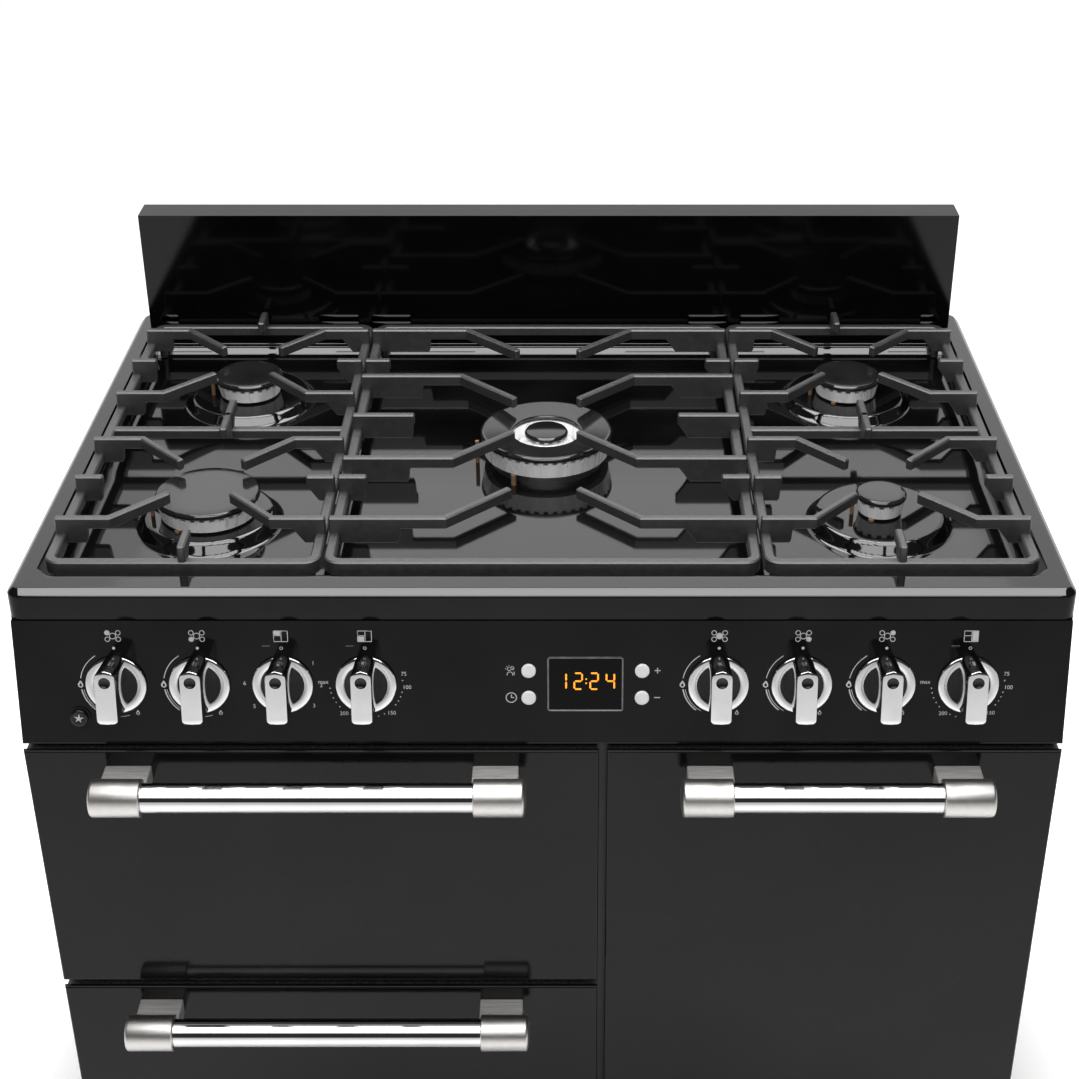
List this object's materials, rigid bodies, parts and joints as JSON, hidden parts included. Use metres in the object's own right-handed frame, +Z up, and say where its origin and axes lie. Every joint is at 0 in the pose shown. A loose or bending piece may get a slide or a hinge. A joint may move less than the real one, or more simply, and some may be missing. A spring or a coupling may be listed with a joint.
{
  "type": "range cooker",
  "caption": "Free-standing black range cooker with a gas hob under cast pan supports, a knob panel with a clock, a drop-down grill door, side-opening oven doors and bar handles.",
  "frame": {"origin": "on the floor, under the middle of the footprint with the handles included", "axes": "+Z up, the front faces -Y, +X to the right as seen from the front"},
  "size_m": [0.9, 0.6765, 1.028],
  "materials": {
    "black_enamel": "gloss enamel",
    "oven_enamel": "speckled oven enamel",
    "cap_enamel": "gloss enamel",
    "zinc_steel": "zinc plated",
    "element_steel": "heat darkened",
    "foot_plastic": "matt",
    "display_glass": "clear dark",
    "tap_brass": "as cast",
    "pipe_aluminium": "drawn",
    "burner_aluminium": "turned",
    "probe_ceramic": "glazed ceramic",
    "cast_iron": "matt enamel",
    "seal_rubber": "soft",
    "wire_chrome": "bright",
    "knob_chrome": "bright",
    "button_metal": "satin",
    "handle_chrome": "bright",
    "handle_nickel": "satin nickel"
  },
  "bodies": {
    "cooker": {"levelling_feet": "foot_plastic", "base_tray": "zinc_steel", "plinth": "black_enamel", "side_panels": "black_enamel", "back_panel": "zinc_steel", "back_screws": "zinc_steel", "cable_gland": "foot_plastic", "front_frame": "oven_enamel", "hob_tray": "black_enamel", "splashback": "black_enamel", "control_panel": "black_enamel", "display_window": "display_glass", "timer_module": "foot_plastic", "gas_taps": "tap_brass", "oven_controls": "zinc_steel", "gas_pipework": "pipe_aluminium", "burner_cups": "burner_aluminium", "burner_crowns": "burner_aluminium", "burner_caps": "cap_enamel", "burner_probes": "probe_ceramic", "grill_cavity": "oven_enamel", "main_oven_cavity": "oven_enamel", "tall_oven_cavity": "oven_enamel", "door_seals": "seal_rubber", "grill_pan": "oven_enamel", "grill_rack": "wire_chrome", "oven_shelves": "wire_chrome", "heating_elements": "element_steel", "fan_motor": "zinc_steel", "fan_cover": "oven_enamel", "door_hinges": "zinc_steel"},
    "rear_left_knob": {"rear_left_knob": "knob_chrome"},
    "front_left_knob": {"front_left_knob": "knob_chrome"},
    "centre_knob": {"centre_knob": "knob_chrome"},
    "front_right_knob": {"front_right_knob": "knob_chrome"},
    "rear_right_knob": {"rear_right_knob": "knob_chrome"},
    "grill_knob": {"grill_knob": "knob_chrome"},
    "main_oven_knob": {"main_oven_knob": "knob_chrome"},
    "tall_oven_knob": {"tall_oven_knob": "knob_chrome"},
    "ignition_button": {"ignition_button": "button_metal"},
    "timer_mode_button": {"timer_mode_button": "button_metal"},
    "timer_clock_button": {"timer_clock_button": "button_metal"},
    "timer_plus_button": {"timer_plus_button": "button_metal"},
    "timer_minus_button": {"timer_minus_button": "button_metal"},
    "left_pan_support": {"left_pan_support": "cast_iron"},
    "centre_pan_support": {"centre_pan_support": "cast_iron"},
    "right_pan_support": {"right_pan_support": "cast_iron"},
    "oven_fan": {"oven_fan": "zinc_steel"},
    "grill_door": {"grill_door_panel": "black_enamel", "grill_door_liner": "oven_enamel", "grill_handle_bar": "handle_chrome", "grill_handle_brackets": "handle_nickel"},
    "main_oven_door": {"main_oven_door_panel": "black_enamel", "main_oven_door_liner": "oven_enamel", "main_oven_handle_bar": "handle_chrome", "main_oven_handle_brackets": "handle_nickel"},
    "tall_oven_door": {"tall_oven_door_panel": "black_enamel", "tall_oven_door_liner": "oven_enamel", "tall_oven_handle_bar": "handle_chrome", "tall_oven_handle_brackets": "handle_nickel"}
  },
  "joints": [
    {"name": "rear_left_knob_turn", "type": "hinge", "parent": "cooker", "child": "rear_left_knob", "pos_m": [-0.3627, -0.27295, 0.815], "axis": [0, -0.9809, 0.1948], "range_deg": [0, 215]},
    {"name": "front_left_knob_turn", "type": "hinge", "parent": "cooker", "child": "front_left_knob", "pos_m": [-0.2918, -0.27295, 0.815], "axis": [0, -0.9809, 0.1948], "range_deg": [0, 215]},
    {"name": "centre_knob_turn", "type": "hinge", "parent": "cooker", "child": "centre_knob", "pos_m": [0.15, -0.27295, 0.815], "axis": [0, -0.9809, 0.1948], "range_deg": [0, 215]},
    {"name": "front_right_knob_turn", "type": "hinge", "parent": "cooker", "child": "front_right_knob", "pos_m": [0.2209, -0.27295, 0.815], "axis": [0, -0.9809, 0.1948], "range_deg": [0, 215]},
    {"name": "rear_right_knob_turn", "type": "hinge", "parent": "cooker", "child": "rear_right_knob", "pos_m": [0.2918, -0.27295, 0.815], "axis": [0, -0.9809, 0.1948], "range_deg": [0, 215]},
    {"name": "grill_knob_turn", "type": "hinge", "parent": "cooker", "child": "grill_knob", "pos_m": [-0.2209, -0.27295, 0.815], "axis": [0, -0.9809, 0.1948], "range_deg": [-270, 0]},
    {"name": "main_oven_knob_turn", "type": "hinge", "parent": "cooker", "child": "main_oven_knob", "pos_m": [-0.15, -0.27295, 0.815], "axis": [0, -0.9809, 0.1948], "range_deg": [-270, 0]},
    {"name": "tall_oven_knob_turn", "type": "hinge", "parent": "cooker", "child": "tall_oven_knob", "pos_m": [0.3627, -0.27295, 0.815], "axis": [0, -0.9809, 0.1948], "range_deg": [-270, 0]},
    {"name": "ignition_button_press", "type": "slide", "parent": "cooker", "child": "ignition_button", "axis": [0, 0.9809, -0.1948], "range_m": [0, 0.0025], "stiffness_N_per_m": 600, "springref_m": -0.001},
    {"name": "timer_mode_button_press", "type": "slide", "parent": "cooker", "child": "timer_mode_button", "axis": [0, 0.9809, -0.1948], "range_m": [0, 0.0015], "stiffness_N_per_m": 600, "springref_m": -0.001},
    {"name": "timer_clock_button_press", "type": "slide", "parent": "cooker", "child": "timer_clock_button", "axis": [0, 0.9809, -0.1948], "range_m": [0, 0.0015], "stiffness_N_per_m": 600, "springref_m": -0.001},
    {"name": "timer_plus_button_press", "type": "slide", "parent": "cooker", "child": "timer_plus_button", "axis": [0, 0.9809, -0.1948], "range_m": [0, 0.0015], "stiffness_N_per_m": 600, "springref_m": -0.001},
    {"name": "timer_minus_button_press", "type": "slide", "parent": "cooker", "child": "timer_minus_button", "axis": [0, 0.9809, -0.1948], "range_m": [0, 0.0015], "stiffness_N_per_m": 600, "springref_m": -0.001},
    {"name": "left_pan_support_lift", "type": "slide", "parent": "cooker", "child": "left_pan_support", "axis": [0, 0, 1], "range_m": [0, 0.15]},
    {"name": "centre_pan_support_lift", "type": "slide", "parent": "cooker", "child": "centre_pan_support", "axis": [0, 0, 1], "range_m": [0, 0.15]},
    {"name": "right_pan_support_lift", "type": "slide", "parent": "cooker", "child": "right_pan_support", "axis": [0, 0, 1], "range_m": [0, 0.15]},
    {"name": "oven_fan_spin", "type": "hinge", "parent": "cooker", "child": "oven_fan", "pos_m": [-0.19975, 0.17025, 0.292], "axis": [0, 1, 0], "continuous": true},
    {"name": "grill_door_drop", "type": "hinge", "parent": "cooker", "child": "grill_door", "pos_m": [-0.19975, -0.27625, 0.503], "axis": [1, 0, 0], "range_deg": [0, 90]},
    {"name": "main_oven_door_swing", "type": "hinge", "parent": "cooker", "child": "main_oven_door", "pos_m": [-0.437, -0.27625, 0.2925], "axis": [0, 0, -1], "range_deg": [0, 90]},
    {"name": "tall_oven_door_swing", "type": "hinge", "parent": "cooker", "child": "tall_oven_door", "pos_m": [0.437, -0.27625, 0.4275], "axis": [0, 0, 1], "range_deg": [0, 90]}
  ]
}
